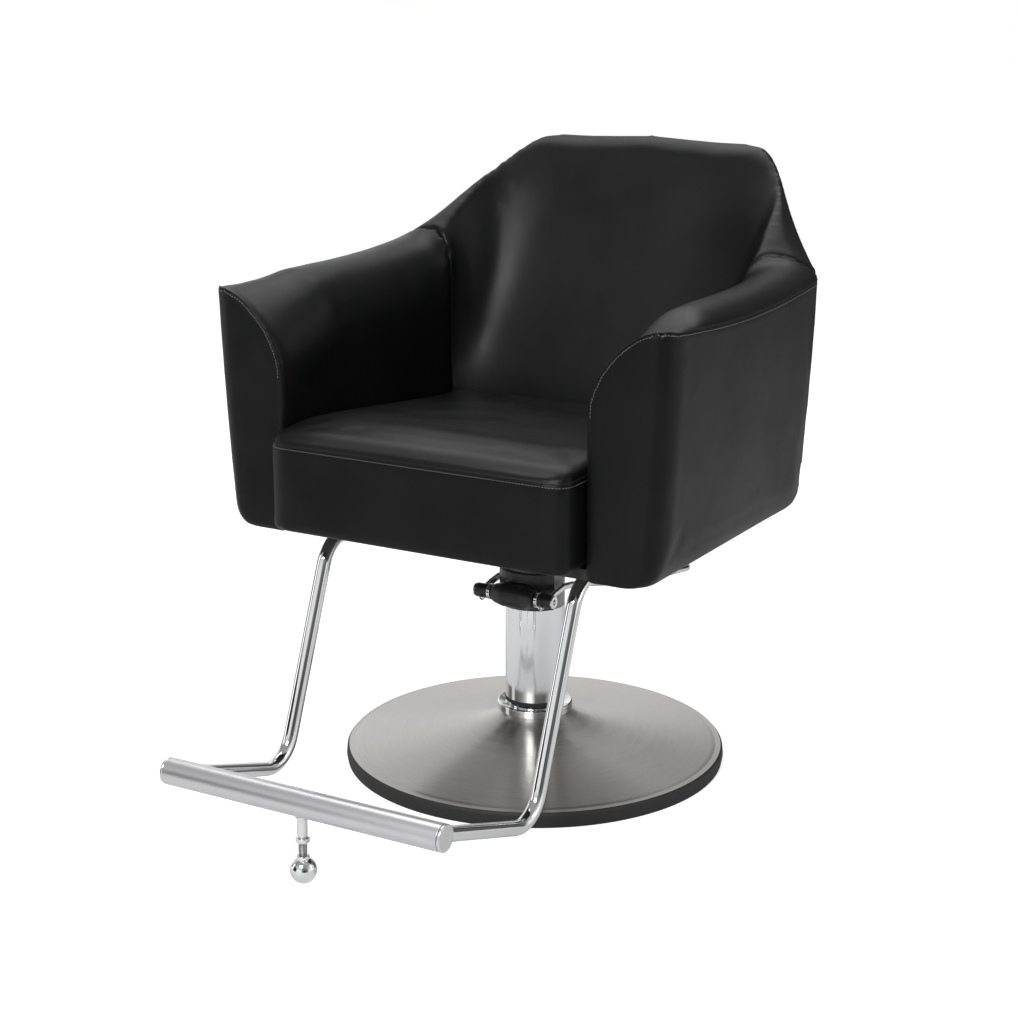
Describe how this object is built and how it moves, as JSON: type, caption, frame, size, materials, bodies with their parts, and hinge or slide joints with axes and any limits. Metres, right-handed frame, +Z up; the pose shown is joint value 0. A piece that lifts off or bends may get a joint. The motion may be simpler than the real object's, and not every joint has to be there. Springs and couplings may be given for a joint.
{
  "type": "hydraulic styling chair",
  "caption": "Upholstered tub chair on a lifting, turning hydraulic column with a round base, a pump pedal and a tubular footrest, for seating a salon client.",
  "frame": {"origin": "on the column's axis at the floor, under the base", "axes": "+Z up along the column, -Y the way the sitter faces, X across the chair and its plane of symmetry at x = 0"},
  "size_m": [0.755, 1.0696, 0.9486],
  "materials": {
    "leather": "smooth black upholstery leather with a soft sheen",
    "chrome": "polished",
    "spun_steel": "brushed in circles",
    "satin_aluminium": "brushed satin",
    "steel": "plain",
    "grey_paint": "matte grey",
    "casting": "satin black paint",
    "rubber": "matte",
    "plywood": "raw plywood",
    "bronze": "machined"
  },
  "bodies": {
    "base": {"base_cover": "spun_steel", "base_rim": "rubber", "base_plate": "steel", "base_collar": "chrome", "cylinder_tube": "chrome", "cylinder_nut": "steel", "cylinder_foot": "steel", "guide_bush": "bronze"},
    "lift_ram": {"ram_rod": "chrome", "ram_piston": "bronze", "swivel_race": "steel"},
    "chair": {"arm_left": "leather", "arm_right": "leather", "backrest": "leather", "seat_cushion": "leather", "arm_core_left": "plywood", "arm_core_right": "plywood", "back_core": "plywood", "seat_deck": "plywood", "column_shroud": "grey_paint", "seat_plate": "grey_paint", "pump_head": "casting", "swivel_hub": "bronze", "footrest_bar": "satin_aluminium", "bar_cap_left": "satin_aluminium", "bar_cap_right": "satin_aluminium", "column_sleeve": "chrome", "foot_socket": "chrome", "foot_nut": "chrome", "footrest_tube_left": "chrome", "footrest_tube_right": "chrome", "crossbar_front": "steel", "crossbar_rear": "steel", "plate_bolt_1": "steel", "plate_bolt_2": "steel", "plate_bolt_3": "steel", "plate_bolt_4": "steel", "tube_clamp_front_left": "steel", "tube_clamp_front_right": "steel", "tube_clamp_rear_left": "steel", "tube_clamp_rear_right": "steel", "clamp_screw_front_left_a": "steel", "clamp_screw_front_left_b": "steel", "clamp_screw_front_right_a": "steel", "clamp_screw_front_right_b": "steel", "clamp_screw_rear_left_a": "steel", "clamp_screw_rear_left_b": "steel", "clamp_screw_rear_right_a": "steel", "clamp_screw_rear_right_b": "steel"},
    "lever": {"lever_shaft": "chrome", "lever_bail": "chrome", "lever_hub_left": "casting", "lever_hub_right": "casting", "lever_screw_left": "chrome", "lever_screw_right": "chrome"},
    "foot": {"foot_stem": "steel", "foot_ball": "chrome"}
  },
  "joints": [
    {"name": "seat_lift", "type": "slide", "parent": "base", "child": "lift_ram", "axis": [0, 0, 1], "range_m": [0, 0.15]},
    {"name": "seat_swivel", "type": "hinge", "parent": "lift_ram", "child": "chair", "pos_m": [0, 0, 0.38], "axis": [0, 0, 1], "continuous": true},
    {"name": "lever_pivot", "type": "hinge", "parent": "chair", "child": "lever", "pos_m": [0, -0.0645, 0.281], "axis": [1, 0, 0], "range_deg": [-12, 5], "stiffness_Nm_per_rad": 20, "springref_deg": 2.01},
    {"name": "foot_height", "type": "slide", "parent": "chair", "child": "foot", "axis": [0, 0, 1], "range_m": [-0.015, 0.005]}
  ]
}
